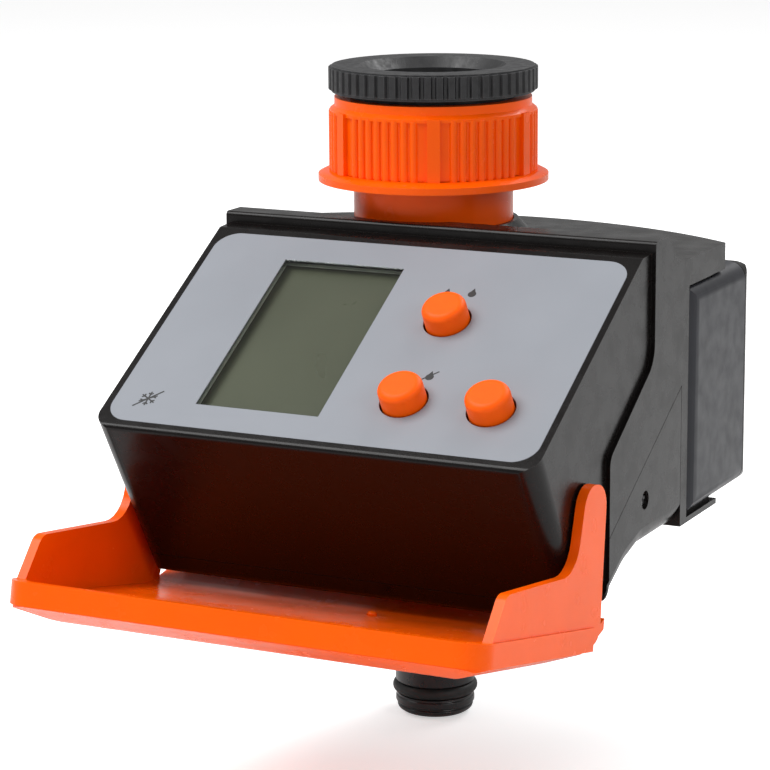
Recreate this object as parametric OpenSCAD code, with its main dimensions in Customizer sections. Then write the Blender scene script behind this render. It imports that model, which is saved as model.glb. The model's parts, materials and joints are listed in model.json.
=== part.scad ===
/* [Case] */
// Width of the case across its cheeks
case_w = 88.5; // [86:0.5:92]
// Width of the control head between the cheeks
head_w = 86.7; // [84:0.1:87.5]
// Thickness of the moulded walls
wall = 2.2; // [1.8:0.1:2.4]
// Distance of the case's middle from the water axis
case_x = 9.8; // [9:0.1:10.5]
// Slope of the control panel above horizontal, in degrees
panel_slope = 30.7; // [29.5:0.1:31.5]
// Depth of the parting plane below the panel
parting_depth = 32.2; // [31.8:0.1:32.6]
// Hairline gap between neighbouring mouldings
seam = 0.15; // [0.1:0.05:0.25]

/* [Control panel] */
// Width of the printed overlay
overlay_w = 84.1; // [82:0.1:84.5]
// Length of the overlay down the slope
overlay_h = 52.7; // [52:0.1:53.2]
// Corner radius of the overlay
overlay_r = 4.5; // [3:0.5:6]
// Width of the display window
window_w = 24.6; // [22:0.1:26]
// Length of the display window down the slope
window_h = 40.3; // [38:0.1:42]
// Diameter of a button cap
button_d = 8.2; // [7.8:0.1:9]
// Height of a button cap above the panel
button_proud = 4; // [3.5:0.1:4.5]
// Travel of a button
button_travel = 1.2; // [0.8:0.1:1.4]

/* [Flip cover] */
// Width of the cover over its rim
cover_w = 92; // [91.6:0.1:93]
// Thickness of the cover's plate
cover_t = 1.7; // [1.5:0.1:1.8]
// Slope of the open cover's plate, in degrees
cover_slope = 12; // [10:0.5:13]
// Radius of the rounded hinge ears
ear_r = 4.6; // [4.2:0.1:5]
// Radius of the hinge studs
stud_r = 2.4; // [2:0.1:2.8]

/* [Water path] */
// Radius of the adapter's knurled ring
ring_r = 20.1; // [19.5:0.1:21]
// Number of knurls on the adapter's ring
knurls = 56; // [40:2:64]
// Radius of the adapter's tap thread, at its crests
tap_r = 12.1; // [11.9:0.1:12.3]
// Radius of the swivel nut at its lugs
nut_r = 20.4; // [20:0.1:21]
// Radius of the swivel nut's foot flange
nut_flange_r = 22.2; // [21.5:0.1:23]
// Ribs between two lugs of the nut
nut_ribs = 8; // [5:1:9]
// Radius of the neck under the nut
neck_r = 15.4; // [15:0.05:15.5]
// Radius of the hose nozzle's lands
nozzle_r = 7.9; // [7.7:0.05:8]
// Direction of the valve branch from the water axis, in degrees
branch_a = -18.4; // [-19:0.1:-18]
// Distance of the valve's middle from the water axis
branch_d = 28.5; // [28:0.1:29]

/* [Power] */
// Diameter of a battery cell
cell_d = 14.2; // [13.8:0.1:14.3]
// Length of a battery cell's case
cell_l = 49.2; // [48:0.1:49.5]

/* [Hidden] */
$fn = 64;
eps = 0.02;
// The frame's origin is the first turn of the tap thread, this far under the adapter's top face.
lead_in = 2;

// Control panel: every point on it is given by its distance down the slope and its depth below it.
panel_y = -25.8;
panel_z = -30.8;
head_l = 54.8;
head_r = 4;
border = 1.35;
overlay_t = 0.4;
window_u = -13.25;
window_v = 26.6;
buttons = [[13, 19.3], [13.2, 40.6], [29.9, 40.7]];
button_hole_r = button_d / 2 + 0.35;
board_depth = 8.5;
board_t = 1.6;
board_w = 74;
board_top = 3;
board_l = 47;
board_holes = [[-35, 6], [35, 6], [-35, 47.6], [35, 47.6]];
pilot_r = 1.25;
shank_r = 1.2;

// Side outlines run in (depth, height); the case is cut by an upright rear seam.
ridge_y = -20.5;
ridge_z = -27.7;
rear_seam_y = -6.5;
cheek_front_y = -41.5;
deck_z = -33.4;
floor_z = -83.2;
back_y = 29.7;
tab_z = -84;
pack_w = case_w + 1.6;
pack_front_y = -3.1;
pack_y = 25.4;
pack_back_y = 29.1;
pack_low = -82.8;
pack_high = -38.6;
core_w = case_w - 2;
core_wall = 1.6;
partition_y = 9.9;
partition_t = 1.8;
box_floor_y = partition_y + partition_t + seam + 1.2;
contact_x = 27.4;
nub = 1.1;
post_x = 38.5;
post_z = -50;
side_screw = [-24.5, -74.6];
chin = [-54.1, -90.4];

// Flip cover hinge.
hinge_y = -51.2;
hinge_z = -68.8;
plate_r = 26.05;
plate_front = 44.6;
curl_y = 12;
ear_top = 3.3;
plate_back = 3.6;

// Water path levels.
ring_h = 5;
neck_top = -17.6;
flange_h = 2.2;
nut_low = -22.1;
boss_r = 18.2;
boss_top = -29.6;
cup_r = 16.6;
cup_top = -31.2;
cup_floor = -44.2;
tube_r = 9.5;
seat_z = -64;
bonnet_h = 5.8;
tube_low = -92;
core_r = 4.6;
tip_z = -129;

// Draws children, made in panel coordinates: x across, -y down the slope, z out of the panel.
module on_panel() {
  translate([case_x, panel_y, panel_z]) rotate([panel_slope, 0, 0]) children();
}

// Extrudes a side outline, drawn as (depth, height), across the case.
module across(w, x = case_x) {
  translate([x - w / 2, 0, 0]) rotate([90, 0, 90]) linear_extrude(w) children();
}

// A ring about Z from a list of [radius, height] corners.
module turned(points) {
  rotate_extrude() polygon(points);
}

module tube(r, hole, z0, z1) {
  difference() {
    translate([0, 0, z0]) cylinder(r = r, h = z1 - z0);
    translate([0, 0, z0 - 1]) cylinder(r = hole, h = z1 - z0 + 2);
  }
}

module o_ring(r, thick, z) {
  translate([0, 0, z]) rotate_extrude() translate([r, 0]) circle(thick / 2);
}

module rounded_rect(w, h, r) {
  square([w - 2 * r, h], center = true);
  square([w, h - 2 * r], center = true);
  for (i = [-1, 1], j = [-1, 1]) translate([i * (w / 2 - r), j * (h / 2 - r)]) circle(r);
}

module rounded_plate(w, h, r, t) {
  linear_extrude(t) rounded_rect(w, h, r);
}

// A round wire through a list of points.
module wire(path, r) {
  for (i = [0 : len(path) - 2]) {
    run = path[i + 1] - path[i];
    translate(path[i]) rotate([0, acos(run[2] / norm(run)), atan2(run[1], run[0])])
      cylinder(r = r, h = norm(run), $fn = 24);
  }
  for (i = [0 : len(path) - 1]) translate(path[i]) sphere(1.12 * r, $fn = 24);
}

function on_slope(along, depth = 0) = [
  panel_y - along * cos(panel_slope) + depth * sin(panel_slope),
  panel_z - along * sin(panel_slope) - depth * cos(panel_slope)
];

// Where the line at a depth below the panel crosses a depth coordinate y.
function slope_z(y, depth) = panel_z + (y - panel_y) * tan(panel_slope) - depth / cos(panel_slope);

function unit(v) = v / norm(v);

// The arc that rounds the corner b of an outline a-b-c to radius r.
function corner(a, b, c, r, steps = 6) = r == 0 ? [b] : let (
  u = unit(a - b),
  v = unit(c - b),
  half = acos(u * v) / 2,
  centre = b + unit(u + v) * r / sin(half),
  start = b + u * r / tan(half) - centre,
  turn = (u[0] * v[1] - u[1] * v[0] > 0 ? -1 : 1) * (180 - 2 * half)
) [for (i = [0 : steps]) let (t = turn * i / steps) centre +
  [start[0] * cos(t) - start[1] * sin(t), start[0] * sin(t) + start[1] * cos(t)]];

// An outline with each corner rounded to its own radius.
function rounded(points, radii) = let (n = len(points))
  [for (i = [0 : n - 1]) each corner(points[(i + n - 1) % n], points[i], points[(i + 1) % n], radii[i])];

// Outlines of the case, each as (depth, height).
function cheek_points() = [
  [ridge_y, ridge_z], [-14.5, ridge_z], [-8.8, deck_z], [rear_seam_y, deck_z],
  [rear_seam_y, slope_z(rear_seam_y, parting_depth + 1)], [cheek_front_y, slope_z(cheek_front_y, parting_depth + 1)],
  [cheek_front_y, slope_z(cheek_front_y, 19.8)], [ridge_y, slope_z(ridge_y, 18.9)]
];
function head_points() = [
  [ridge_y + 4, -29.8], [ridge_y, -29.8], on_slope(-border), on_slope(head_l), on_slope(head_l, parting_depth + 1),
  [ridge_y + 4, slope_z(ridge_y + 4, parting_depth + 1)]
];
function belly_points() = [
  on_slope(head_l, parting_depth + seam), chin, [-46, -91], [-41, -89.2], [-33, -85], [-26, floor_z],
  [rear_seam_y, floor_z], [rear_seam_y, slope_z(rear_seam_y, parting_depth + seam)]
];

// Control head with the ridge and cheeks over it: one moulding above the parting plane.
module front_housing() {
  color("#1c1a19") difference() {
    union() {
      across(case_w) polygon(rounded(cheek_points(), [0.8, 1.2, 1.5, 0, 0, 0, 3, 6]));
      intersection() {
        across(head_w) polygon(rounded(head_points(), [0, 0, 0.6, 1, 0, 0]));
        head_corners();
      }
      for (side = [-1, 1]) across(2.35, case_x + side * (head_w / 2 + 0.1)) translate([hinge_y, hinge_z]) circle(stud_r);
    }
    across(head_w - 2 * wall) polygon([
      on_slope(8, wall), on_slope(head_l - wall, wall), on_slope(head_l - wall, parting_depth + 5),
      [0, slope_z(0, parting_depth)], [0, deck_z - wall], [-10, deck_z - wall], [-15.5, ridge_z - wall],
      [ridge_y + wall, ridge_z - wall], [ridge_y + wall, -32.5]
    ]);
    on_panel() panel_openings();
    translate([0, 0, -60]) cylinder(r = boss_r + 0.2, h = 40);
    translate([0, 0, -60]) cylinder(r = cup_r + 2.4, h = 25.8);
    across(case_w + 2) polygon([
      on_slope(head_l + 9, parting_depth), on_slope(head_l + 9, parting_depth + 30), [0, -110],
      [0, slope_z(0, parting_depth)]
    ]);
  }
  color("#1c1a19") difference() {
    union() {
      for (side = [-1, 1]) {
        screw_tab(side);
        translate([case_x + side * post_x, partition_y - 0.05, post_z]) rotate([90, 0, 0]) cylinder(r = 3, h = 22);
      }
      on_panel() for (h = board_holes) translate([h[0], -h[1], -board_depth + 0.05])
        cylinder(r = 2.3, h = board_depth - 2);
    }
    for (side = [-1, 1]) {
      across(case_w) translate(side_screw) circle(0.95);
      translate([case_x + side * post_x, partition_y + 1, post_z]) rotate([90, 0, 0]) cylinder(r = pilot_r, h = 8);
    }
    on_panel() for (h = board_holes) translate([h[0], -h[1], -board_depth - 1]) cylinder(r = pilot_r, h = 5.5);
  }
}

// The head's plan seen square to its panel, which rounds the two upright front corners.
module head_corners() {
  back = 30;
  on_panel() translate([0, -(head_l - back) / 2, -60]) rounded_plate(head_w, head_l + back, head_r, 65);
}

// Tab that reaches down inside the tub to take its side screw.
module screw_tab(side) {
  inner = head_w / 2 - wall;
  top = slope_z(side_screw[0], parting_depth - 4);
  across(2.4, case_x + side * (inner - 1.25)) polygon(rounded([
    [side_screw[0] - 4, top], [side_screw[0] + 4, top], side_screw + [4, -4], side_screw - [4, 4]
  ], [0, 0, 3, 3]));
  across(3, case_x + side * (inner - 0.5)) polygon([
    [side_screw[0] - 4, top], [side_screw[0] - 4, slope_z(side_screw[0] - 4, parting_depth - 0.2)],
    [side_screw[0] + 4, slope_z(side_screw[0] + 4, parting_depth - 0.2)], [side_screw[0] + 4, top]
  ]);
}

// Recess and holes that the panel's parts sit in.
module panel_openings() {
  translate([0, -overlay_h / 2, -overlay_t]) rounded_plate(overlay_w + 0.1, overlay_h + 0.1, overlay_r, 1);
  translate([window_u, -window_v, -8]) linear_extrude(8) square([window_w + 3.2, window_h + 3.2], center = true);
  for (b = buttons) translate([b[0], -b[1], -8]) cylinder(r = button_hole_r, h = 10);
}

function belly_outline() = rounded(belly_points(), [0, 3, 3, 6, 10, 6, 0, 0]);

// Tub under the parting plane, closed in front by the chin under the head.
module lower_housing() {
  color("#1e1c1b") difference() {
    union() {
      intersection() {
        across(head_w) polygon(belly_outline());
        translate([-100, -100, -100]) cube([300, 100 + cheek_front_y + 3, 60]);
        head_corners();
        translate([case_x, -10, -71.1]) rotate([90, 0, 0]) rounded_plate(head_w, 40, head_r, 60);
      }
      intersection() {
        across(case_w) polygon(belly_outline());
        translate([-100, cheek_front_y, -100]) cube([300, 80, 60]);
      }
    }
    across(head_w - 2 * wall) offset(delta = -wall) polygon(concat(
      [for (p = belly_points()) if (p[0] < rear_seam_y) p], [[30, floor_z], [30, slope_z(30, parting_depth)]]
    ));
    across(head_w - 2 * wall) polygon([
      on_slope(head_l - wall, parting_depth - 3), on_slope(head_l - wall, parting_depth + 3),
      [0, slope_z(0, parting_depth + 3)], [0, slope_z(0, parting_depth - 3)]
    ]);
    translate([-100, rear_seam_y - seam, -100]) cube([200, 20, 100]);
    translate([0, 0, -100]) cylinder(r = 13.7, h = 40);
    for (side = [-1, 1]) screw_recess(side);
  }
}

// Countersunk screw place in the tub's side.
module screw_recess(side) {
  translate([case_x + side * (case_w / 2 + eps), side_screw[0], side_screw[1]]) rotate([0, -side * 90, 0]) {
    cylinder(r = 1.75, h = 1.7);
    cylinder(r = 1.05, h = 6);
  }
}

module plan_outline() {
  intersection() {
    translate([case_x - case_w / 2, rear_seam_y]) square([case_w, 60]);
    translate([case_x, back_y - 78]) circle(78, $fn = 128);
    translate([case_x, 0]) rounded_rect(case_w, 2 * back_y, 12);
  }
}

module front_strip(y1) {
  translate([case_x - case_w / 2, rear_seam_y]) square([case_w, y1 - rear_seam_y]);
}

// Rear shell: a deck with the neck's collar, a core that stands in the battery box, and the nozzle's collar.
module rear_housing() {
  color("#1c1a19") difference() {
    union() {
      translate([0, 0, pack_high + seam]) linear_extrude(deck_z - pack_high - seam) plan_outline();
      translate([0, 0, tab_z]) linear_extrude(deck_z - tab_z) front_strip(pack_front_y - seam);
      translate([0, 0, tab_z]) linear_extrude(pack_low - seam - tab_z) front_strip(13);
      translate([case_x - core_w / 2, rear_seam_y, tab_z])
        cube([core_w, partition_y + partition_t - rear_seam_y, deck_z - 1 - tab_z]);
      cup_bulge(0);
      turned([[0, -40], [boss_r, -40], [boss_r, boss_top - 2], [boss_r - 1.8, boss_top], [0, boss_top]]);
      translate([0, 0, -88]) cylinder(r = 13.5, h = 5);
    }
    translate([case_x - core_w / 2 + core_wall, rear_seam_y - 20, floor_z + wall])
      cube([core_w - 2 * core_wall, partition_y - rear_seam_y + 20, deck_z - floor_z - 2 * wall]);
    difference() {
      translate([0, 0, pack_high - 1]) linear_extrude(deck_z - wall - pack_high + 1) intersection() {
        offset(delta = -wall) plan_outline();
        translate([-100, partition_y + partition_t]) square([200, 50]);
      }
      cup_bulge(0);
    }
    translate([0, 0, -33]) cylinder(r = neck_r + 0.2, h = 10);
    translate([0, 0, cup_floor - 2.1]) cylinder(r = cup_r + 0.4, h = cup_top - cup_floor + 2.2);
    translate([0, 0, -100]) cylinder(r = tube_r + 0.3, h = 30);
    for (side = [-1, 1]) bay_screw_hole(side);
  }
}

// The wall round the valve's cup, which reaches back over the battery box.
module cup_bulge(gap) {
  translate([0, 0, cup_floor - 4 - gap]) cylinder(r = cup_r + 2.2 + gap, h = deck_z - cup_floor + 3 + gap);
}

// The battery box's outer form between two depths, its sides drawn inset by a wall.
module pack_form(y0, y1, inset = 0) {
  r = 3.5 - inset;
  depth = pack_back_y - pack_front_y;
  high = pack_high - pack_low - 2 * inset;
  middle = [case_x, (pack_back_y + pack_front_y) / 2, (pack_low + pack_high) / 2];
  intersection() {
    translate(middle + [0, depth / 2, 0]) rotate([90, 0, 0]) rounded_plate(pack_w - 2 * inset, high, r, depth);
    translate(middle - [pack_w / 2, 0, 0]) rotate([90, 0, 90]) rounded_plate(depth, high, r, pack_w);
    translate(middle - [0, 0, high / 2]) rounded_plate(pack_w - 2 * inset, depth, r, high);
    translate([-100, y0, -100]) cube([200, y1 - y0, 100]);
  }
}

// Box that clads the core's sides and holds the cells behind it.
module battery_box() {
  color("#23232b") difference() {
    pack_form(pack_front_y, pack_y);
    translate([case_x - core_w / 2 - seam, -20, -100]) cube([core_w + 2 * seam, 20 + partition_y + partition_t + seam, 90]);
    cup_bulge(seam);
    difference() {
      pack_form(box_floor_y, pack_y + 1, wall);
      cup_bulge(seam + 1.6);
    }
    for (side = [-1, 1]) bay_screw_hole(side);
  }
  color("#23232b") for (side = [-1, 1])
    translate([case_x + side * (contact_x + 1.3) - 0.7, box_floor_y - 0.5, pack_low + 3.8])
      cube([1.4, 13, 32.8]);
}

module bay_screw_hole(side) {
  translate([case_x + side * post_x, partition_y - 2, post_z]) rotate([-90, 0, 0]) cylinder(r = pilot_r + 0.2, h = 6);
}

// Rear lid of the battery box, with a finger grip along its foot.
module battery_cover() {
  color("#1e1c1f") difference() {
    pack_form(pack_y + seam, pack_back_y);
    pack_form(pack_y - 1, pack_back_y - 1.4, wall);
    for (i = [-3 : 3]) translate([case_x + i * 3.2, pack_back_y + 0.45, -78]) cylinder(r = 0.9, h = 10);
  }
}

module battery_seal() {
  color("#303030") difference() {
    pack_form(pack_y - 1.2, pack_y + 0.6, wall + 0.1);
    pack_form(pack_y - 2, pack_y + 1.6, wall + 1.2);
  }
}

// Screws in the tub's two side recesses, and the two that close the bay's partition.
module housing_screws() {
  color("#8a8a8c") for (side = [-1, 1]) {
    translate([case_x + side * (case_w / 2 - 0.75), side_screw[0], side_screw[1]]) rotate([0, -side * 90, 0])
      pan_screw(1.6, 0.9, 0.9, 6);
    translate([case_x + side * post_x, box_floor_y + 1.15, post_z]) rotate([90, 0, 0]) pan_screw(2.3, 1.1, shank_r, 11);
  }
}

// A small cross-recessed screw, head at the origin, shank along +Z.
module pan_screw(head_r, head_h, shank_r, length) {
  difference() {
    union() {
      cylinder(r = head_r, h = head_h);
      cylinder(r = shank_r, h = length);
    }
    for (a = [0, 90]) rotate([0, 0, a]) translate([-1.3, -0.25, -0.1]) cube([2.6, 0.5, 0.6]);
  }
}

module panel_overlay() {
  color("#a3a8b1") on_panel() difference() {
    translate([0, -overlay_h / 2, -overlay_t + eps]) rounded_plate(overlay_w, overlay_h, overlay_r, overlay_t);
    translate([window_u, -window_v, -2]) linear_extrude(4) square([window_w, window_h], center = true);
    for (b = buttons) translate([b[0], -b[1], -2]) cylinder(r = button_hole_r, h = 4);
  }
}

// Clear lens under the overlay's window.
module display_window() {
  color("#9aa39a", 0.4) on_panel() union() {
    translate([window_u, -window_v, -1.9]) linear_extrude(1.5) square([window_w + 3, window_h + 3], center = true);
    translate([window_u, -window_v, -1.9]) linear_extrude(1.8) square([window_w - 0.1, window_h - 0.1], center = true);
  }
}

module display_module() {
  color("#46483a") on_panel() translate([window_u, -window_v, -4.4]) linear_extrude(2.2)
    square([window_w + 1.6, window_h + 1.6], center = true);
}

module display_frame() {
  color("#d8d8d2") on_panel() difference() {
    translate([window_u, -window_v, -board_depth + 0.05]) linear_extrude(6.4)
      square([window_w + 3, window_h + 3], center = true);
    translate([window_u, -window_v, -4.45]) linear_extrude(6) square([window_w + 1.7, window_h + 1.7], center = true);
    translate([window_u, -window_v, -board_depth - 1]) linear_extrude(6) square([window_w - 3, window_h - 8], center = true);
    for (side = [-1, 1]) translate([window_u, -window_v + side * zebra_v(), -board_depth - 1]) linear_extrude(6)
      square([window_w - 3, 1.7], center = true);
  }
}

function zebra_v() = window_h / 2 - 2.2;

// Rubber contact strips between the board and the display glass.
module zebra_strips() {
  color("#c86464") on_panel() for (side = [-1, 1])
    translate([window_u, -window_v + side * zebra_v(), -board_depth + 0.05]) linear_extrude(board_depth - 4.5)
      square([window_w - 4, 1.5], center = true);
}

module circuit_board() {
  color("#1d6b3a") on_panel() difference() {
    translate([0, -board_top - board_l / 2, -board_depth - board_t]) rounded_plate(board_w, board_l, 1.5, board_t);
    for (h = board_holes) translate([h[0], -h[1], -board_depth - 3]) cylinder(r = pilot_r + 0.1, h = 6);
  }
}

module board_chips() {
  color("#202020") on_panel() {
    translate([-20, -30, -board_depth - board_t - 1.9]) cube([12, 12, 1.85]);
    translate([8, -14, -board_depth - board_t - 1.5]) cube([5, 4, 1.45]);
    translate([18, -20, -board_depth - board_t - 1.5]) cube([5, 6, 1.45]);
  }
}

module board_capacitor() {
  color("#2c3c6c") on_panel() translate([-24, -44, -board_depth - board_t - 5.1]) rotate([0, 90, 0]) cylinder(r = 5, h = 16);
}

// One tactile switch on the board under each button.
module tactile_switches() {
  color("#303030") on_panel() for (b = buttons) translate([b[0], -b[1], -board_depth + 0.02]) {
    translate([-3, -3, 0]) cube([6, 6, 3.1]);
    cylinder(r = 1.7, h = 3.5);
  }
}

module board_screws() {
  color("#9a9a9c") on_panel() for (h = board_holes) translate([h[0], -h[1], -board_depth - board_t - 1.15])
    pan_screw(2, 1.1, shank_r, 5.5);
}

// A domed cap on a stem with a collar that keeps it behind the panel.
module button(place) {
  dome = 1.3;
  r = button_d / 2;
  on_panel() translate([place[0], -place[1], 0]) rotate_extrude() polygon(concat(
    [[0, -4.9 + button_travel], [1.6, -4.9 + button_travel], [1.6, -3.4], [button_hole_r + 0.9, -3.4],
     [button_hole_r + 0.9, -2.5], [r, -2.5], [r, button_proud - dome]],
    [for (a = [15 : 15 : 90]) [r - dome + dome * cos(a), button_proud - dome + dome * sin(a)]],
    [[0, button_proud]]
  ));
}

module start_button() {
  color("#f65a0a") button(buttons[0]);
}

module stop_button() {
  color("#f65a0a") button(buttons[1]);
}

module menu_button() {
  color("#f65a0a") button(buttons[2]);
}

// Soft sheet that seals the button stems.
module button_seal() {
  color("#505050") on_panel() difference() {
    translate([21.5, -28.2, -5.3]) rounded_plate(31, 33, 3, 0.55);
    for (b = buttons) translate([b[0], -b[1], -6]) cylinder(r = 2.2, h = 3);
  }
}

// Cover coordinates: the hinge axis is x, the plate lies flat under it and reaches towards -y.
module on_cover() {
  translate([case_x, hinge_y, hinge_z]) rotate([-cover_slope, 0, 0]) children();
}

// Plan of the cover's plate, wide at its two front corners.
function cover_plan(inset = 0, back = plate_back) = let (x = cover_w / 2 - inset, front = inset - plate_front)
  rounded([[x, back], [x, front], [-x, front], [-x, back]], [0, 5 - inset / 2, 5 - inset / 2, 0]);

// Side plate of the cover, as (depth, height) about the hinge.
function side_outline() = rounded([
  [ear_r, ear_top], [7.4, 1 - plate_r], [3 - plate_front, 1 - plate_r], [4.2 - plate_front, 3.6 - plate_r],
  [-35.6, -14.2], [-6.3, -12.2], [-ear_r, ear_top]
], [ear_r - 0.1, 3.2, 0, 0, 3, 6.5, ear_r - 0.1]);

module flip_cover() {
  rim_h = 4.2;
  crown = 3;
  color("#f85c0c") on_cover() {
    difference() {
      union() {
        translate([0, 0, -plate_r]) linear_extrude(rim_h) polygon(cover_plan());
        for (side = [-1, 1]) translate([side * (cover_w / 2 - 1.3) - 0.9, 0, 0]) rotate([90, 0, 90])
          linear_extrude(1.8) polygon(side_outline());
        crowned_plate(crown);
      }
      translate([0, 0, -plate_r + cover_t]) linear_extrude(40) polygon(cover_plan(2.2, 30));
      for (side = [-1, 1]) translate([side * (head_w / 2 - 0.1), 0, 0]) rotate([0, side * 90, 0])
        cylinder(r = stud_r + 0.06, h = 1.5);
    }
    rear_curl();
  }
}

// The plate's rear edge curls up round the hinge, clear of the case as the cover turns.
module rear_curl() {
  intersection() {
    across(head_w + 1.6, 0) difference() {
      circle(plate_r, $fn = 180);
      circle(plate_r - cover_t, $fn = 180);
    }
    translate([-50, 0.5, -plate_r - 1]) cube([100, curl_y, plate_r]);
  }
}

// The plate's outward bulge, a shallow pan with sloped and rounded sides.
module crowned_plate(crown) {
  half = (plate_front + plate_back) / 2;
  run = 8;
  translate([0, (plate_back - plate_front) / 2, -plate_r]) intersection() {
    translate([0, half, 0]) rotate([90, 0, 0]) linear_extrude(2 * half) pan_section(cover_w / 2, run, crown);
    translate([-cover_w / 2, 0, 0]) rotate([90, 0, 90]) linear_extrude(cover_w) pan_section(half, run, crown);
    translate([0, 0, -crown - 1]) linear_extrude(crown + 1.5) rounded_rect(cover_w - 1, 2 * half - 1, 4.5);
  }
}

// Half-width, sloped run and drop of the pan's section.
module pan_section(x, run, drop) {
  polygon(rounded([[-x, 0.6], [-x, 0], [run - x, -drop], [x - run, -drop], [x, 0], [x, 0.6]], [0, 0, 12, 12, 0, 0]));
}

// Knurled ring with a barrel that screws into the nut.
module thread_adapter() {
  color("#1b1b1b") difference() {
    union() {
      translate([0, 0, -ring_h + 0.5]) linear_extrude(ring_h - 0.85) knurled(ring_r, 0.55, knurls);
      translate([0, 0, -ring_h]) cylinder(r = ring_r - 0.6, h = ring_h);
      translate([0, 0, -15.6]) cylinder(r = 15.9, h = 11);
    }
    turned([[0, 1], [14.8, 1], [14.05, 0], [tap_r, -lead_in], [tap_r, -11.4], [12.9, -11.5], [12.9, -13.5], [0, -13.5]]);
    translate([0, 0, -20]) cylinder(r = 8.5, h = 10);
  }
}

// A ring outline with a groove between neighbouring knurls.
module knurled(r, depth, count) {
  polygon([for (i = [0 : count - 1], j = [0, 1, 2, 3]) let (
    a = (i + [0.1, 0.25, 0.75, 0.9][j]) * 360 / count,
    rr = r - [1, 0, 0, 1][j] * depth
  ) [rr * cos(a), rr * sin(a)]]);
}

module tap_washer() {
  color("#3c3c3c") tube(12.8, 8.6, -13.45, -11.55);
}

// Union nut: six lugs with fine ribs between them, over a foot flange.
module swivel_nut() {
  color("#f85c0c") difference() {
    union() {
      turned([[0, -6], [19, -6], [19, -7.6], [19.5, -8.2], [19.5, -19.9], [0, -19.9]]);
      turned([[0, -7.6], [19, -7.6], [19.9, -8.3], [19.9, -8.9], [0, -8.9]]);
      turned([[0, nut_low], [nut_flange_r, nut_low], [nut_flange_r, -20.8], [20.6, -20], [0, -20]]);
      for (k = [0 : 5]) rotate([0, 0, -64.5 + k * 60]) {
        translate([19, -1.2, -20]) cube([nut_r - 19, 2.4, 11.8]);
        for (i = [0 : nut_ribs - 1]) rotate([0, 0, 11 + i * 38 / (nut_ribs - 1)])
          translate([19.35, 0, -20]) cylinder(r = 0.75, h = 11.4, $fn = 16);
      }
    }
    translate([0, 0, -17.4]) cylinder(r = 16, h = 20);
    translate([0, 0, -19.9]) cylinder(r = 16.3, h = 3);
    translate([0, 0, -30]) cylinder(r = neck_r + 0.08, h = 20);
  }
}

module nut_washer() {
  color("#3c3c3c") tube(15.4, 9.6, -16.7, -15.65);
}

// Strainer cup hanging in the neck, with slots down its wall.
module filter_screen() {
  color("#e6e6e0") difference() {
    turned([
      [0, -31], [4.6, -31], [8.9, neck_top - 1], [8.9, neck_top + 0.02], [14.6, neck_top + 0.02], [14.6, -16.72],
      [8.2, -16.72], [8.2, neck_top - 1], [4, -30.2], [0, -30.2]
    ]);
    for (k = [0 : 11]) rotate([0, 0, k * 30]) translate([2, -0.45, -29]) cube([8, 0.9, 9]);
  }
}

module inlet_neck() {
  color("#f85c0c") difference() {
    turned([
      [0, neck_top], [15.9, neck_top], [15.9, neck_top - flange_h], [neck_r, neck_top - flange_h],
      [neck_r, -30.6], [14, -31], [14, -38.5], [12.5, -38.5], [12.5, -40.9], [14, -40.9], [14, cup_floor + 0.1], [0, cup_floor + 0.1]
    ]);
    translate([0, 0, -60]) cylinder(r = 9.2, h = 60);
  }
}

module neck_o_ring() {
  color("#2a2a2a") o_ring(13.28, 1.5, -39.7);
}

// Draws children with +x along the valve branch.
module on_branch() {
  rotate([0, 0, branch_a]) children();
}

module valve_body() {
  floor_top = seat_z - 7;
  color("#26262a") difference() {
    union() {
      translate([0, 0, cup_floor - 2]) cylinder(r = cup_r, h = cup_top - cup_floor + 2);
      translate([0, 0, tube_low]) cylinder(r = tube_r, h = 50);
      on_branch() {
        translate([branch_d, 0, seat_z - 9]) cylinder(r = 17.5, h = 9);
        translate([0, -5, seat_z - 9]) cube([branch_d, 10, 8.6]);
        translate([0, 0, -75.8]) rotate([0, 90, 0]) cylinder(r = 4.6, h = branch_d + 5);
      }
    }
    translate([0, 0, cup_floor]) cylinder(r = 14.08, h = 20);
    translate([0, 0, -70]) cylinder(r = 7, h = 30);
    translate([0, 0, -84]) cylinder(r = 5, h = 11.2);
    translate([0, 0, -95]) cylinder(r = 7, h = 11);
    on_branch() {
      translate([branch_d, 0, 0]) difference() {
        translate([0, 0, floor_top]) cylinder(r = 12, h = 20);
        translate([0, 0, floor_top - 1]) cylinder(r = 6.5, h = 8);
      }
      translate([branch_d, 0, -75.8]) cylinder(r = 3.4, h = 20);
      translate([0, 0, -67.6]) rotate([0, 90, 0]) cylinder(r = 2.5, h = branch_d - 8);
      translate([0, 0, -75.8]) rotate([0, 90, 0]) cylinder(r = 2.8, h = branch_d);
      bonnet_holes(seat_z - 7, 8, 1.05);
    }
  }
}

module bonnet_holes(z, h, r) {
  for (a = [45 : 90 : 315]) translate([branch_d + 15.2 * cos(a), 15.2 * sin(a), z]) cylinder(r = r, h = h);
}

module diaphragm() {
  color("#141414") on_branch() translate([branch_d, 0, 0]) turned([
    [0, seat_z + 0.01], [13.1, seat_z + 0.01], [13.1, seat_z + 1.3], [10, seat_z + 1.3], [9, seat_z + 1.9],
    [8, seat_z + 1.3], [0, seat_z + 1.3]
  ]);
}

module valve_bonnet() {
  color("#2c2c30") on_branch() difference() {
    translate([branch_d, 0, seat_z + 0.01]) cylinder(r = 17.5, h = bonnet_h);
    translate([branch_d, 0, seat_z - 1]) cylinder(r = 13.2, h = 2.35);
    translate([branch_d, 0, seat_z]) cylinder(r = 10.5, h = 3.4);
    translate([branch_d, 0, seat_z]) cylinder(r = 0.8, h = 8);
    translate([branch_d, 0, seat_z + 4.4]) cylinder(r = 5.4, h = 4);
    bonnet_holes(seat_z - 1, 10, 1.3);
  }
}

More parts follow.
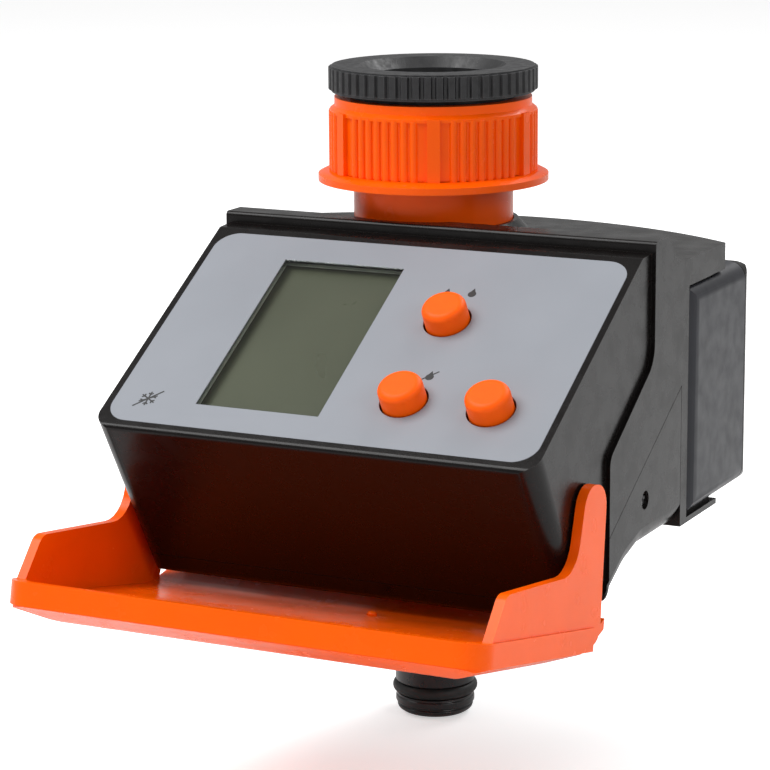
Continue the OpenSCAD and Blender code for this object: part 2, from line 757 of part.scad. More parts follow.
module bonnet_screws() {
  color("#9a9a9c") on_branch() for (a = [45 : 90 : 315])
    translate([branch_d + 15.2 * cos(a), 15.2 * sin(a), seat_z + bonnet_h + 1.2]) rotate([180, 0, 0])
      pan_screw(2, 1.1, 1, 11);
}

// Closed steel tube that guides the plunger, with its fixed pole at the top.
module core_tube() {
  color("#b8b8bc") on_branch() translate([branch_d, 0, 0]) difference() {
    turned([
      [0, seat_z + 4.42], [5.3, seat_z + 4.42], [5.3, seat_z + 5.6], [core_r, seat_z + 5.6], [core_r, -39.6],
      [2.5, -39.6], [2.5, -38], [0, -38]
    ]);
    translate([0, 0, -70]) cylinder(r = 4, h = 25.6);
  }
}

module plunger() {
  color("#a8a8ac") on_branch() translate([branch_d, 0, 0]) difference() {
    turned([[0, seat_z + 4.45], [1.6, seat_z + 4.45], [1.6, seat_z + 5.4], [3.93, seat_z + 5.4], [3.93, -48.6], [0, -48.6]]);
    translate([0, 0, -50]) cylinder(r = 2.7, h = 3);
  }
}

// Return spring between the plunger's pocket and the pole.
module plunger_spring() {
  color("#c8c8cc") on_branch() translate([branch_d, 0, -49.75]) coil(2.3, 2.3, 0.22, 4, 5.1);
}

module solenoid_coil() {
  color("#7a3a1c") on_branch() translate([branch_d, 0, 0]) difference() {
    turned([
      [0, -56.5], [9.6, -56.5], [9.6, -55.6], [9, -55.6], [9, -43.6], [9.6, -43.6], [9.6, -42.7], [0, -42.7]
    ]);
    translate([0, 0, -60]) cylinder(r = core_r + 0.1, h = 30);
  }
}

module solenoid_yoke() {
  color("#9c9ca0") on_branch() translate([branch_d, 0, 0]) difference() {
    translate([-7, -8, -57.7]) cube([18.2, 16, 16.2]);
    translate([-10, -9, -56.55]) cube([19.8, 18, 13.9]);
    translate([0, 0, -60]) cylinder(r = core_r + 0.05, h = 30);
  }
}

// Two leads from the coil up to the board.
module coil_leads() {
  color("#c03020") for (i = [-1, 1]) {
    start = [27 + 2 * i, -18.9, -49.5];
    foot = on_slope(10, board_depth + board_t + 0.7);
    wire([start, [27 + 2 * i, -22, -50.5], [27 + 2 * i, foot[0] + 3, foot[1] - 3], [27 + 2 * i, foot[0], foot[1]]], 0.6);
  }
}

// Push-on hose nozzle plugged into the valve's lower tube.
module outlet_nozzle() {
  land = tip_z + 6.3;
  color("#1b1b1b") difference() {
    turned([
      [0, -84.2], [6.9, -84.2], [6.9, -87], [5.6, -87], [5.6, -89.2], [6.9, -89.2], [6.9, tube_low - 0.05],
      [12.5, tube_low - 0.05], [12.5, -97], [9, -97], [9, -101], [9.6, -101.6], [9.6, -107], [7.3, -108], [7.3, -111],
      [nozzle_r, -111.6], [nozzle_r, land], [6, land], [6, land - 2.7], [7.6, land - 2.7], [7.6, land - 3.1],
      [7.85, land - 3.3], [7.85, land - 4.4], [7.3, land - 4.6], [7.3, land - 4.9], [7.6, land - 5.1],
      [7.4, tip_z + 0.6], [6.6, tip_z], [0, tip_z]
    ]);
    translate([0, 0, -140]) cylinder(r = 4.6, h = 60);
    for (k = [0 : 7]) rotate([0, 0, k * 45]) translate([11.6, -10, -98]) cube([5, 20, 7]);
  }
}

module nozzle_o_ring() {
  color("#101010") o_ring(7.25, 2.4, tip_z + 4.95);
}

module spigot_o_ring() {
  color("#101010") o_ring(6.28, 1.3, -88.1);
}

// Two cells lie across the bay, one above the other and head to tail.
module battery_cells() {
  for (i = [0, 1]) along_cell(i) {
    color("#2e4a2e") translate([0, 0, contact_x - nub - 0.05 - cell_l]) cylinder(d = cell_d, h = cell_l);
    color("#c0c0c0") translate([0, 0, contact_x - nub - 0.05]) cylinder(r = 2.7, h = nub);
  }
}

// Draws children at a cell's place, with +z towards its raised end.
module along_cell(i) {
  translate([case_x, box_floor_y + 0.2 + cell_d / 2, [-57.2, -72.2][i]]) rotate([0, 90 - 180 * i, 0]) children();
}

// Flat and sprung contacts at the cells' ends, joined by a strip at the right-hand end.
module battery_springs() {
  plate_t = 0.5;
  spring_l = 2 * contact_x - nub - cell_l - 0.1;
  color("#c8c8cc") for (i = [0, 1]) along_cell(i) {
    translate([-4, -4, contact_x]) cube([8, 8, plate_t]);
    translate([-5, -5, -contact_x - plate_t]) cube([10, 10, plate_t]);
    translate([0, 0, -contact_x]) coil(4.4, 2.2, 0.35, 3, spring_l - 0.4);
  }
  color("#c8c8cc") along_cell(0) translate([3.9, -2, contact_x]) cube([7, 4, plate_t]);
}

// A wire coil that rises along +z from radius r0 to radius r1.
module coil(r0, r1, wire_r, turns, length) {
  steps = 14;
  count = turns * steps;
  function coil_point(i) = let (r = r0 + (r1 - r0) * i / count)
    [r * cos(i * 360 / steps), r * sin(i * 360 / steps), length * i / count];
  for (i = [0 : count - 1]) hull() {
    translate(coil_point(i)) sphere(wire_r, $fn = 6);
    translate(coil_point(i + 1)) sphere(wire_r, $fn = 6);
  }
}

// Leads from the bay's contacts forward to the board.
module battery_leads() {
  foot = on_slope(20, board_depth + board_t + 0.9);
  color("#202020") for (x = [-22, -19.5])
    wire([[x, partition_y - 0.9, -70], [x, -20, -71], [x, foot[0] + 4, -65], [x, foot[0], foot[1]]], 0.7);
}

module in_frame() {
  translate([0, 0, lead_in]) children();
}

in_frame() thread_adapter();
in_frame() tap_washer();
in_frame() swivel_nut();
in_frame() nut_washer();
in_frame() filter_screen();
in_frame() inlet_neck();
in_frame() neck_o_ring();
in_frame() valve_body();
in_frame() diaphragm();
in_frame() valve_bonnet();
in_frame() bonnet_screws();
in_frame() core_tube();
in_frame() plunger();
in_frame() plunger_spring();
in_frame() solenoid_coil();
in_frame() solenoid_yoke();
in_frame() coil_leads();
in_frame() outlet_nozzle();
in_frame() nozzle_o_ring();
in_frame() spigot_o_ring();
in_frame() front_housing();
in_frame() lower_housing();
in_frame() rear_housing();
in_frame() battery_box();
in_frame() housing_screws();
in_frame() panel_overlay();
in_frame() display_window();
in_frame() display_module();
in_frame() display_frame();
in_frame() zebra_strips();
in_frame() circuit_board();
in_frame() board_chips();
in_frame() board_capacitor();
in_frame() tactile_switches();
in_frame() board_screws();
in_frame() start_button();
in_frame() stop_button();
in_frame() menu_button();
in_frame() button_seal();
in_frame() flip_cover();
in_frame() battery_cells();
in_frame() battery_springs();
in_frame() battery_leads();
in_frame() battery_cover();
in_frame() battery_seal();
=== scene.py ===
"""Looks of a tap-mounted irrigation timer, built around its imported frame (metres, +Z up the water axis)."""

import json
import math

import bmesh
import bpy
from mathutils import Matrix, Vector


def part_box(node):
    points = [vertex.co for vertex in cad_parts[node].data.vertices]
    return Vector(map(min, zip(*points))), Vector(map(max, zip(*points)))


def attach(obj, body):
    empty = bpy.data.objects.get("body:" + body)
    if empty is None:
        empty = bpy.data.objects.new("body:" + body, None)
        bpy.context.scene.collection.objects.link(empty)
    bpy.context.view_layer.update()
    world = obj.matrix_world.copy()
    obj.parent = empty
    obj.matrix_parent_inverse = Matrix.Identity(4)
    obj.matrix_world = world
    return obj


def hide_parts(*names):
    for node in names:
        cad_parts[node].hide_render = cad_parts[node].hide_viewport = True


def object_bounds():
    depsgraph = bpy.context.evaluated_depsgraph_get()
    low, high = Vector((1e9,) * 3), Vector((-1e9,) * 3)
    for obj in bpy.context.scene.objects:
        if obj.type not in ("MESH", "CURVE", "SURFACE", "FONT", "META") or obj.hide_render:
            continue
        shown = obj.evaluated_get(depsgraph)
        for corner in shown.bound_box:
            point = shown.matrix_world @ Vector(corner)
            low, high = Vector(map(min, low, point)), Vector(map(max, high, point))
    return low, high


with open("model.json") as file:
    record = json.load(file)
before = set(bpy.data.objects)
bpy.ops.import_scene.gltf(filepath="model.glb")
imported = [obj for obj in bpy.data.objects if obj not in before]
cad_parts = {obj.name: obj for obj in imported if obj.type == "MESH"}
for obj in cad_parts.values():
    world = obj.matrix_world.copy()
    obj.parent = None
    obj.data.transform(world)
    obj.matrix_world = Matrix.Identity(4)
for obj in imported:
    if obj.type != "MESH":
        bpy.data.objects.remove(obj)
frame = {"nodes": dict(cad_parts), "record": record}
cad_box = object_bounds()

MM = 0.001

PANEL_SLOPE = math.radians(30.7)
COVER_SLOPE = math.radians(12)
SHARP = math.radians(32)


def panel_frame():
    """Frame on the overlay's top face: x across, y up the slope, origin at the middle of its upper edge."""
    tilt = Matrix.Rotation(PANEL_SLOPE, 4, "X")
    flat = [tilt.inverted() @ v.co for v in frame["nodes"]["panel_overlay"].data.vertices]
    middle = (min(v.x for v in flat) + max(v.x for v in flat)) / 2
    return tilt @ Matrix.Translation((middle, max(v.y for v in flat), max(v.z for v in flat)))


panel = panel_frame()


# ---------------------------------------------------------------- materials


class Shader:
    """A node material with a Principled surface, and short calls for the layers of detail on it."""

    def __init__(self, name, color, roughness, **values):
        self.material = bpy.data.materials.new(name)
        self.material.use_nodes = True
        self.tree = self.material.node_tree
        self.surface = self.tree.nodes["Principled BSDF"]
        self.coordinates = self.node("ShaderNodeTexCoord").outputs["Object"]
        self.color = color
        self.roughness = roughness
        self.set(self.surface, **{"Base Color": (*color, 1), "Roughness": roughness}, **values)

    def node(self, kind, **values):
        made = self.tree.nodes.new(kind)
        self.set(made, **values)
        return made

    def set(self, node, **values):
        for key, value in values.items():
            if key in node.inputs.keys():
                node.inputs[key].default_value = value
            else:
                setattr(node, key, value)

    def link(self, a, b):
        self.tree.links.new(a, b)

    def noise(self, size, detail=3.0, stretch=(1, 1, 1)):
        """Noise with features about size metres across."""
        mapping = self.node("ShaderNodeMapping")
        mapping.inputs["Scale"].default_value = stretch
        self.link(self.coordinates, mapping.inputs["Vector"])
        made = self.node("ShaderNodeTexNoise", Scale=1 / size, Detail=detail)
        self.link(mapping.outputs["Vector"], made.inputs["Vector"])
        return made.outputs["Fac"]

    def spread(self, value, low, high):
        """Maps a noise value's usual span to low..high."""
        made = self.node("ShaderNodeMapRange")
        self.set(made, **{"From Min": 0.3, "From Max": 0.7, "To Min": low, "To Max": high})
        self.link(value, made.inputs["Value"])
        return made.outputs["Result"]

    def mottle(self, size, amount):
        """Varies the colour's brightness by amount, in patches of about size."""
        shade = self.node("ShaderNodeMix", data_type="RGBA", blend_type="MULTIPLY")
        shade.inputs["Factor"].default_value = 1
        shade.inputs[6].default_value = (*self.color, 1)
        gain = self.node("ShaderNodeCombineColor")
        level = self.spread(self.noise(size), 1 - amount, 1 + amount)
        for channel in gain.inputs:
            self.link(level, channel)
        self.link(gain.outputs[0], shade.inputs[7])
        self.link(shade.outputs[2], self.surface.inputs["Base Color"])
        self.base = shade.outputs[2]
        return self

    def polish(self, size, amount):
        """Varies the roughness by amount, in patches of about size."""
        level = self.spread(self.noise(size), self.roughness - amount, self.roughness + amount)
        self.link(level, self.surface.inputs["Roughness"])
        return self

    def grain(self, size, height, detail=2.0, stretch=(1, 1, 1)):
        """Moulded grain: bumps of about size across and height deep, in metres."""
        bump = self.node("ShaderNodeBump", Strength=1.0, Distance=height)
        self.link(self.noise(size, detail, stretch), bump.inputs["Height"])
        previous = self.surface.inputs["Normal"].links
        if previous:
            self.link(previous[0].from_socket, bump.inputs["Normal"])
        self.link(bump.outputs["Normal"], self.surface.inputs["Normal"])
        return self

    def paint_edge_highlight(self, width, color):
        """Paints a highlight along sharp edges: shifts the colour there towards a lighter one."""
        geometry = self.node("ShaderNodeNewGeometry")
        rounded = self.node("ShaderNodeBevel", samples=3, Radius=width)
        compare = self.node("ShaderNodeVectorMath", operation="DOT_PRODUCT")
        self.link(geometry.outputs["Normal"], compare.inputs[0])
        self.link(rounded.outputs["Normal"], compare.inputs[1])
        edge = self.node("ShaderNodeMapRange")
        self.set(edge, **{"From Min": 0.985, "From Max": 0.8, "To Min": 0.0, "To Max": 0.6})
        self.link(compare.outputs["Value"], edge.inputs["Value"])
        # Painted highlight: the lighter colour is mixed in along the sharp edges.
        highlight_mix = self.node("ShaderNodeMix", data_type="RGBA")
        self.link(edge.outputs["Result"], highlight_mix.inputs["Factor"])
        self.link(self.base, highlight_mix.inputs[6])
        highlight_mix.inputs[7].default_value = (*color, 1)
        self.link(highlight_mix.outputs[2], self.surface.inputs["Base Color"])
        return self


def case_plastic():
    made = Shader("case_plastic", (0.0042, 0.0032, 0.0030), 0.27, **{"Specular IOR Level": 0.2})
    made.mottle(9 * MM, 0.1).polish(4 * MM, 0.05).grain(0.16 * MM, 0.0035 * MM)
    # Lighter near-black along sharp edges: painted highlight.
    return made.paint_edge_highlight(0.35 * MM, (0.022, 0.019, 0.018)).material


def bay_plastic():
    made = Shader("bay_plastic", (0.011, 0.0118, 0.017), 0.4, **{"Specular IOR Level": 0.4})
    made.mottle(7 * MM, 0.12).polish(3 * MM, 0.05).grain(0.2 * MM, 0.006 * MM)
    # Lighter grey along sharp edges: painted highlight.
    return made.paint_edge_highlight(0.35 * MM, (0.07, 0.07, 0.075)).material


def orange_plastic():
    made = Shader("orange_plastic", (0.98, 0.108, 0.0005), 0.24, **{"Specular IOR Level": 0.16})
    made.set(made.surface, **{"Subsurface Weight": 0.06, "Subsurface Scale": 0.0015})
    made.mottle(12 * MM, 0.035).polish(5 * MM, 0.05).grain(0.5 * MM, 0.0025 * MM)
    # Brighter orange along sharp edges: painted highlight.
    return made.paint_edge_highlight(0.3 * MM, (1.0, 0.135, 0.002)).material


def button_plastic():
    made = Shader("button_plastic", (0.98, 0.112, 0.0005), 0.45, **{"Specular IOR Level": 0.16})
    made.set(made.surface, **{"Subsurface Weight": 0.08, "Subsurface Scale": 0.001})
    made.mottle(3 * MM, 0.04).polish(2 * MM, 0.05).grain(0.14 * MM, 0.004 * MM)
    return made.material


def ring_plastic():
    made = Shader("ring_plastic", (0.012, 0.012, 0.013), 0.5, **{"Specular IOR Level": 0.5})
    made.mottle(1.2 * MM, 0.25).polish(1.5 * MM, 0.12).grain(0.25 * MM, 0.03 * MM)
    # Lighter grey along sharp edges: painted highlight.
    return made.paint_edge_highlight(0.25 * MM, (0.09, 0.09, 0.095)).material


def nozzle_plastic():
    made = Shader("nozzle_plastic", (0.012, 0.011, 0.012), 0.3)
    made.mottle(3 * MM, 0.15).polish(2 * MM, 0.06).grain(0.3 * MM, 0.004 * MM)
    # Lighter grey along sharp edges: painted highlight.
    return made.paint_edge_highlight(0.2 * MM, (0.06, 0.06, 0.06)).material


def overlay_film():
    made = Shader("overlay_film", (0.255, 0.27, 0.3), 0.42, **{"Specular IOR Level": 0.35})
    made.mottle(14 * MM, 0.025).polish(6 * MM, 0.04).grain(0.12 * MM, 0.0015 * MM)
    return made.material


def overlay_ink():
    made = Shader("overlay_ink", (0.012, 0.012, 0.013), 0.45)
    return made.mottle(0.6 * MM, 0.1).polish(1 * MM, 0.05).material


def display():
    """Dark olive liquid-crystal glass."""
    made = Shader("display", (0.092, 0.095, 0.068), 0.3, **{"Specular IOR Level": 0.3})
    made.mottle(18 * MM, 0.06).polish(8 * MM, 0.03).grain(0.3 * MM, 0.0008 * MM)
    return made.material


def lens():
    """Thin clear plate: it lets light straight through and reflects a little at its surface."""
    made = Shader("lens", (1, 1, 1), 0.05)
    clear = made.node("ShaderNodeBsdfTransparent")
    clear.inputs["Color"].default_value = (0.93, 0.945, 0.92, 1)
    shine = made.node("ShaderNodeBsdfGlossy", Roughness=0.06)
    made.link(made.spread(made.noise(5 * MM), 0.04, 0.08), shine.inputs["Roughness"])
    facing = made.node("ShaderNodeFresnel", IOR=1.35)
    side = made.node("ShaderNodeNewGeometry")
    front_only = made.node("ShaderNodeMath", operation="SUBTRACT", use_clamp=True)
    made.link(facing.outputs[0], front_only.inputs[0])
    made.link(side.outputs["Backfacing"], front_only.inputs[1])
    both = made.node("ShaderNodeMixShader")
    made.link(front_only.outputs[0], both.inputs[0])
    made.link(clear.outputs[0], both.inputs[1])
    made.link(shine.outputs[0], both.inputs[2])
    made.link(both.outputs[0], made.tree.nodes["Material Output"].inputs["Surface"])
    return made.material


def rubber(name, color):
    made = Shader(name, color, 0.55, **{"Specular IOR Level": 0.4})
    return made.mottle(1.5 * MM, 0.15).polish(1 * MM, 0.08).grain(0.18 * MM, 0.006 * MM).material


def moulded(name, color, roughness):
    """Plain moulded plastic of the inner parts."""
    made = Shader(name, color, roughness)
    return made.mottle(4 * MM, 0.1).polish(2 * MM, 0.06).grain(0.2 * MM, 0.005 * MM).material


def steel():
    made = Shader("steel", (0.6, 0.6, 0.61), 0.3, Metallic=1.0)
    made.mottle(2 * MM, 0.1).polish(0.8 * MM, 0.1).grain(0.08 * MM, 0.002 * MM, stretch=(1, 1, 0.1))
    return made.material


def wound_copper():
    made = Shader("copper_wire", (0.5, 0.17, 0.06), 0.32, Metallic=0.8)
    made.mottle(1 * MM, 0.15).polish(1 * MM, 0.08).grain(0.3 * MM, 0.05 * MM, stretch=(0.02, 0.02, 1))
    return made.material


def circuit():
    """Solder mask."""
    made = Shader("board", (0.012, 0.11, 0.035), 0.33)
    made.mottle(2.5 * MM, 0.35).polish(1 * MM, 0.08).grain(0.8 * MM, 0.03 * MM, 1.0)
    return made.material


MATERIALS = {
    "case_plastic": case_plastic(),
    "bay_plastic": bay_plastic(),
    "orange_plastic": orange_plastic(),
    "ring_plastic": ring_plastic(),
    "nozzle_plastic": nozzle_plastic(),
    "overlay_film": overlay_film(),
    "lens": lens(),
    "display": display(),
    "white_plastic": moulded("white_plastic", (0.7, 0.7, 0.67), 0.45),
    "zebra_rubber": rubber("zebra_rubber", (0.42, 0.16, 0.15)),
    "seal_rubber": rubber("seal_rubber", (0.013, 0.013, 0.013)),
    "valve_plastic": moulded("valve_plastic", (0.03, 0.03, 0.034), 0.5),
    "steel": steel(),
    "copper_wire": wound_copper(),
    "board": circuit(),
    "chip_plastic": moulded("chip_plastic", (0.02, 0.02, 0.02), 0.5),
    "capacitor_sleeve": moulded("capacitor_sleeve", (0.03, 0.05, 0.2), 0.3),
    "wire_sleeve": moulded("wire_sleeve", (0.4, 0.03, 0.02), 0.35),
    "cell_jacket": moulded("cell_jacket", (0.03, 0.1, 0.05), 0.28),
    "screen_mesh": moulded("screen_mesh", (0.75, 0.75, 0.7), 0.5),
}
BUTTON = button_plastic()
INK = overlay_ink()


# ---------------------------------------------------------------- pieces


SLOT_OF = {s["node"]: s["material_slot"] for s in frame["record"]["subparts"]}
BODY_OF = {n: b for b, nodes in frame["record"]["behaviour"]["bodies"].items() for n in nodes}


def add_piece(name, mesh, material, body, slot):
    """Adds a mesh, in the frame's coordinates, as a piece that rides on a body."""
    mesh.materials.clear()
    mesh.materials.append(material)
    piece = bpy.data.objects.new(name, mesh)
    bpy.context.scene.collection.objects.link(piece)
    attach(piece, body)
    return piece


# Nodes whose flat faces have grooves across them, which fold if they are made whole.
KEPT_TRIANGLES = ("battery_cover",)


def clean_copy(node):
    """The node's surface as a new mesh whose flat faces are whole again, and its corners marked sharp."""
    work = bmesh.new()
    work.from_mesh(frame["nodes"][node].data)
    weld = 2e-6
    bmesh.ops.remove_doubles(work, verts=work.verts, dist=weld)
    if node not in KEPT_TRIANGLES:
        bmesh.ops.dissolve_limit(work, angle_limit=math.radians(0.05), verts=work.verts, edges=work.edges)
    for edge in work.edges:
        edge.smooth = len(edge.link_faces) != 2 or edge.calc_face_angle(0) < SHARP
    return work


def soften(piece, radius, segments=3, corner=30):
    """Rounds the piece's edges and shades its curves smoothly."""
    bevel = piece.modifiers.new("edges", "BEVEL")
    bevel.width = radius
    bevel.segments = segments
    bevel.limit_method = "ANGLE"
    bevel.angle_limit = math.radians(corner)
    bevel.harden_normals = True
    bevel.use_clamp_overlap = True
    bevel.miter_outer = "MITER_ARC"
    flat = piece.modifiers.new("flat_faces", "WEIGHTED_NORMAL")
    flat.keep_sharp = True
    flat.weight = 80


def moulding(node, name, radius, material=None, corner=30):
    """A node's shape with rounded edges, standing for the node."""
    work = clean_copy(node)
    for face in work.faces:
        face.smooth = True
    mesh = bpy.data.meshes.new(name)
    work.to_mesh(mesh)
    work.free()
    slot = SLOT_OF[node]
    piece = add_piece(name, mesh, material or MATERIALS[slot], BODY_OF[node], slot)
    soften(piece, radius, corner=corner)
    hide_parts(node)
    return piece


def round_long_edges(piece, radius, wanted):
    """A larger round on the edges that wanted(a, b) picks, before the general one."""
    weights = piece.data.attributes.new("bevel_weight_edge", "FLOAT", "EDGE")
    vertices = piece.data.vertices
    for edge in piece.data.edges:
        a, b = (vertices[i].co for i in edge.vertices)
        weights.data[edge.index].value = 1.0 if wanted(a, b) else 0.0
    bevel = piece.modifiers.new("long_edges", "BEVEL")
    bevel.width = radius
    bevel.segments = 5
    bevel.limit_method = "WEIGHT"
    bevel.use_clamp_overlap = False
    piece.modifiers.move(len(piece.modifiers) - 1, 0)


def tub_foot_edges():
    """Picks the tub's two lower side edges behind the chin, on its outer faces."""
    low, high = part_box("lower_housing")
    foot = low.z + 11 * MM

    def wanted(a, b):
        sides = [abs(a.x - x) < 0.05 * MM and abs(b.x - x) < 0.05 * MM for x in (low.x, high.x)]
        along = abs(a.y - b.y) > 0.01 * MM
        return any(sides) and along and max(a.z, b.z) < foot and min(a.y, b.y) > -42 * MM

    return wanted


def dress_frame():
    """Gives every CAD node the material of its slot."""
    for node, item in frame["nodes"].items():
        item.data.materials.clear()
        item.data.materials.append(MATERIALS[SLOT_OF[node]])


ROUNDED = {
    "front_housing": ("front_shell", 0.45),
    "lower_housing": ("lower_shell", 0.45),
    "rear_housing": ("rear_shell", 0.45),
    "battery_box": ("battery_box_shell", 0.5),
    "battery_cover": ("battery_lid_shell", 0.5),
    "flip_cover": ("cover_shell", 0.5),
    "swivel_nut": ("nut_shell", 0.25),
    "inlet_neck": ("neck_shell", 0.3),
    "thread_adapter": ("adapter_ring", 0.12),
    "outlet_nozzle": ("nozzle_shell", 0.2),
    "panel_overlay": ("overlay_sheet", 0.08),
    "housing_screws": ("screw_heads", 0.06),
}


def build_mouldings():
    for node, (name, radius) in ROUNDED.items():
        moulding(node, name, radius * MM)
    round_long_edges(bpy.data.objects["lower_shell"], 3.6 * MM, tub_foot_edges())
    for node in ("start_button", "stop_button", "menu_button"):
        moulding(node, node + "_cap", 0.3 * MM, BUTTON)


# ---------------------------------------------------------------- panel marks


def triangle(size, point_up=True):
    """A triangle standing on or hanging from its centre line, in panel millimetres."""
    way = 1 if point_up else -1
    return [(-size / 2, -way * size / 2), (size / 2, -way * size / 2), (0, way * size / 2)]


def drop(height, steps=20):
    """Outline of a water drop, its tip at the top."""
    r = height * 0.33
    round_part = [math.radians(-235 + 290 * i / steps) for i in range(steps + 1)]
    outline = [(r * math.cos(a), r * math.sin(a) - height * 0.17) for a in round_part]
    return outline + [(0, height * 0.5)]


def stroke(a, b, width):
    """A straight bar from a to b."""
    ax, ay = a
    bx, by = b
    run = math.hypot(bx - ax, by - ay)
    nx, ny = -(by - ay) / run * width / 2, (bx - ax) / run * width / 2
    return [(ax + nx, ay + ny), (ax - nx, ay - ny), (bx - nx, by - ny), (bx + nx, by + ny)]


def frost_mark(size, width):
    """Six-armed frost star with side twigs, crossed by a slash."""
    bars = [stroke((-size * 0.62, -size * 0.62), (size * 0.62, size * 0.62), width * 1.2)]
    for i in range(6):
        a = math.radians(30 + 60 * i)
        end = (size / 2 * math.cos(a), size / 2 * math.sin(a))
        bars.append(stroke((0, 0), end, width))
        knee = (end[0] * 0.58, end[1] * 0.58)
        for turn in (-0.9, 0.9):
            reach = (knee[0] + size * 0.17 * math.cos(a + turn), knee[1] + size * 0.17 * math.sin(a + turn))
            bars.append(stroke(knee, reach, width))
    return bars


def add_mark(name, outlines, across, down):
    """Prints outlines (in millimetres) on the overlay; each bar sits a hair above the one before."""
    work = bmesh.new()
    for i, outline in enumerate(outlines):
        lift = 0.012 + 0.0006 * i
        lower, upper = (
            [work.verts.new(panel @ (Vector((across + x, y - down, level)) * MM)) for x, y in outline]
            for level in (lift - 0.01, lift)
        )
        work.faces.new(upper)
        work.faces.new(reversed(lower))
        for a in range(len(outline)):
            b = (a + 1) % len(outline)
            work.faces.new((lower[a], lower[b], upper[b], upper[a]))
    bmesh.ops.recalc_face_normals(work, faces=work.faces)
    mesh = bpy.data.meshes.new(name)
    work.to_mesh(mesh)
    work.free()
    add_piece(name, mesh, INK, "case", "overlay_film")


def build_panel_marks():
    add_mark("mark_start_arrow", [triangle(1.7)], 10.0, 11.6)
    add_mark("mark_start_drop", [drop(2.4)], 14.9, 11.4)
    add_mark("mark_stop_arrow", [triangle(1.7, point_up=False)], 10.7, 34.6)
    add_mark("mark_stop_drop", [drop(2.4), stroke((-1.3, -1.2), (1.3, 1.2), 0.3)], 15.55, 33.8)
    add_mark("mark_frost", frost_mark(3.6, 0.3), -35.4, 46.7)


# ---------------------------------------------------------------- small details


def add_frame_strip(name, width, height, bar, depth, material, slot):
    """A thin rectangular rim that lines the display's opening, its outer size width by height."""
    low, high = panel_window()
    middle_x, middle_y = (low[0] + high[0]) / 2, (low[1] + high[1]) / 2
    work = bmesh.new()
    rings = []
    for inset, level in ((0, 0), (0, -depth), (bar, -depth), (bar, -depth + 0.1), (bar * 0.4, -0.05)):
        x, y = width / 2 - inset, height / 2 - inset
        corners = ((-x, -y), (x, -y), (x, y), (-x, y))
        places = [Vector((middle_x + a, middle_y + b, level)) * MM for a, b in corners]
        rings.append([work.verts.new(panel @ place) for place in places])
    for ring, after in zip(rings, rings[1:] + rings[:1]):
        for i in range(4):
            work.faces.new((ring[i], ring[(i + 1) % 4], after[(i + 1) % 4], after[i]))
    bmesh.ops.recalc_face_normals(work, faces=work.faces)
    mesh = bpy.data.meshes.new(name)
    work.to_mesh(mesh)
    work.free()
    return add_piece(name, mesh, material, "case", slot)


def panel_window():
    """The overlay's window in panel millimetres: its low and high corners."""
    inside = []
    for vertex in frame["nodes"]["panel_overlay"].data.vertices:
        at = panel.inverted() @ vertex.co
        if -30 * MM < at.x < 3 * MM and -48 * MM < at.y < -5 * MM:
            inside.append(at / MM)
    return ((min(v.x for v in inside), min(v.y for v in inside)),
            (max(v.x for v in inside), max(v.y for v in inside)))


def build_cover_mark():
    """One moulding mark near the middle of the cover's floor."""
    x, y, z = 14.8 * MM, -57.4 * MM, -90.4 * MM
    add_gate_mark("cover_gate_mark", x, y, z, radius=0.95 * MM, height=0.8 * MM)


def build_display_rim():
    low, high = panel_window()
    add_frame_strip("window_rim", high[0] - low[0] - 0.04, high[1] - low[1] - 0.04, 0.35, 1.1,
                    MATERIALS["lens"], "lens")


def add_gate_mark(name, x, y, z, radius, height):
    """A small domed sprue mark on the cover's floor, turned from a short profile."""
    work = bmesh.new()
    profile = [(1.0, 0.0), (1.0, 0.35), (0.86, 0.7), (0.55, 0.92), (0.3, 0.98), (0.22, 0.86), (0.0, 0.84)]
    sides = 28
    slope = Matrix.Translation((x, y, z)) @ Matrix.Rotation(-COVER_SLOPE, 4, "X")
    rings = []
    for r, h in profile[:-1]:
        turns = [2 * math.pi * i / sides for i in range(sides)]
        places = [Vector((radius * r * math.cos(a), radius * r * math.sin(a), height * h)) for a in turns]
        rings.append([work.verts.new(slope @ place) for place in places])
    tip = work.verts.new(slope @ Vector((0, 0, height * profile[-1][1])))
    for ring, after in zip(rings, rings[1:]):
        for i in range(sides):
            work.faces.new((ring[i], ring[(i + 1) % sides], after[(i + 1) % sides], after[i]))
    for i in range(sides):
        work.faces.new((rings[-1][i], rings[-1][(i + 1) % sides], tip))
    work.faces.new(list(reversed(rings[0])))
    for face in work.faces:
        face.smooth = True
    mesh = bpy.data.meshes.new(name)
    work.to_mesh(mesh)
    work.free()
    return add_piece(name, mesh, MATERIALS["orange_plastic"], "cover", "orange_plastic")


# ---------------------------------------------------------------- stage


def build_stage():
    """Pale floor, soft studio light and the camera."""
    floor_z = cad_box[0].z - 0.0005
    mesh = bpy.data.meshes.new("floor")
    reach = 6.0
    corners = ((-reach, -reach), (reach, -reach), (reach, reach), (-reach, reach))
    mesh.from_pydata([(x, y, floor_z) for x, y in corners], [], [(0, 1, 2, 3)])
    floor = bpy.data.objects.new("floor", mesh)
    bpy.context.scene.collection.objects.link(floor)
    mesh.materials.append(floor_paper())

    bpy.context.scene.world = studio_world()
    middle = (cad_box[0] + cad_box[1]) / 2
    add_softbox("key", middle, azimuth=-50, elevation=58, distance=0.9, size=0.6, watts=8)
    add_softbox("fill", middle, azimuth=70, elevation=25, distance=1.0, size=0.35, watts=1.5)
    add_softbox("back", middle, azimuth=160, elevation=45, distance=1.0, size=0.5, watts=4)
    add_camera()
    bpy.context.scene.view_settings.view_transform = "Standard"


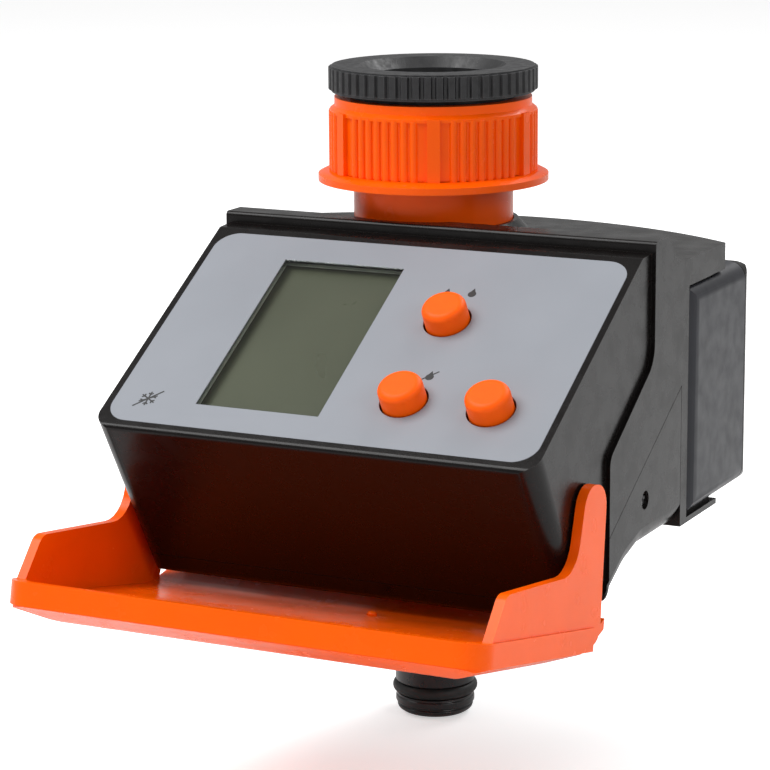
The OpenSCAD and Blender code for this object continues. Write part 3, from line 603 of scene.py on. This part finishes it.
def floor_paper():
    """White paper, lifted a little for the camera alone so that it runs into the backdrop."""
    made = Shader("floor", (0.94, 0.94, 0.94), 0.7, **{"Specular IOR Level": 0.1})
    made.mottle(0.4, 0.01)
    path = made.node("ShaderNodeLightPath")
    lift = made.node("ShaderNodeMath", operation="MULTIPLY")
    lift.inputs[1].default_value = 0.5
    made.link(path.outputs["Is Camera Ray"], lift.inputs[0])
    made.set(made.surface, **{"Emission Color": (1, 1, 1, 1)})
    made.link(lift.outputs[0], made.surface.inputs["Emission Strength"])
    return made.material


def studio_world():
    """Dim grey surroundings for the object, seen white behind it by the camera."""
    world = bpy.data.worlds.new("studio")
    world.use_nodes = True
    tree = world.node_tree
    surroundings = tree.nodes["Background"]
    surroundings.inputs["Color"].default_value = (1, 1, 1, 1)
    surroundings.inputs["Strength"].default_value = 0.42
    backdrop = tree.nodes.new("ShaderNodeBackground")
    backdrop.inputs["Color"].default_value = (1, 1, 1, 1)
    path = tree.nodes.new("ShaderNodeLightPath")
    either = tree.nodes.new("ShaderNodeMixShader")
    tree.links.new(path.outputs["Is Camera Ray"], either.inputs[0])
    tree.links.new(surroundings.outputs[0], either.inputs[1])
    tree.links.new(backdrop.outputs[0], either.inputs[2])
    tree.links.new(either.outputs[0], tree.nodes["World Output"].inputs["Surface"])
    return world


def add_softbox(name, target, azimuth, elevation, distance, size, watts):
    """A square area light; azimuth runs from the object's front towards its right."""
    light = bpy.data.lights.new(name, "AREA")
    light.size = size
    light.energy = watts
    lamp = bpy.data.objects.new(name, light)
    a, e = math.radians(azimuth), math.radians(elevation)
    away = Vector((math.sin(a) * math.cos(e), -math.cos(a) * math.cos(e), math.sin(e)))
    lamp.location = target + away * distance
    lamp.rotation_euler = away.to_track_quat("Z", "Y").to_euler()
    bpy.context.scene.collection.objects.link(lamp)


def add_camera():
    """Camera to the right of the object's front and a little above it."""
    data = bpy.data.cameras.new("camera")
    data.lens = 140.8
    data.sensor_width = 36
    data.clip_end = 50
    camera = bpy.data.objects.new("camera", data)
    azimuth, down, roll = math.radians(26.39), math.radians(12.34), math.radians(-0.40)
    camera.location = Vector((0.24760, -0.52069, 0.06523))
    turn = Matrix.Rotation(azimuth, 4, "Z") @ Matrix.Rotation(math.pi / 2 - down, 4, "X")
    camera.rotation_euler = (turn @ Matrix.Rotation(roll, 4, "Z")).to_euler()
    bpy.context.scene.collection.objects.link(camera)
    bpy.context.scene.camera = camera


dress_frame()
build_mouldings()
build_panel_marks()
build_display_rim()
build_cover_mark()
build_stage()
